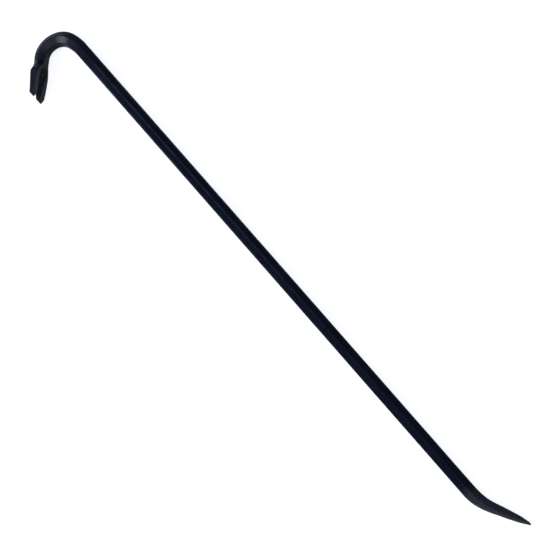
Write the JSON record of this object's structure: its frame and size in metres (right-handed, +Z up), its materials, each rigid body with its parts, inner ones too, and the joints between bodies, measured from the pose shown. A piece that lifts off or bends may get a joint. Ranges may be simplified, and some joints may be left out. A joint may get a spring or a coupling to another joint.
{
  "type": "gooseneck wrecking bar",
  "caption": "Gooseneck wrecking bar of hexagonal steel, with a slotted nail claw on its hook and a drawn-out, cranked chisel at the other end, painted near black.",
  "frame": {"origin": "middle of the bounding box, on the surface the bar lies on", "axes": "+X along the shank from the hook to the chisel, +Y across the shank away from the claw, +Z up from the surface the bar lies on"},
  "size_m": [1.2, 0.1336, 0.0424],
  "materials": {
    "black_paint": "satin near black paint with a trace of navy"
  },
  "bodies": {
    "root": {"forged_bar": "black_paint"}
  },
  "joints": []
}
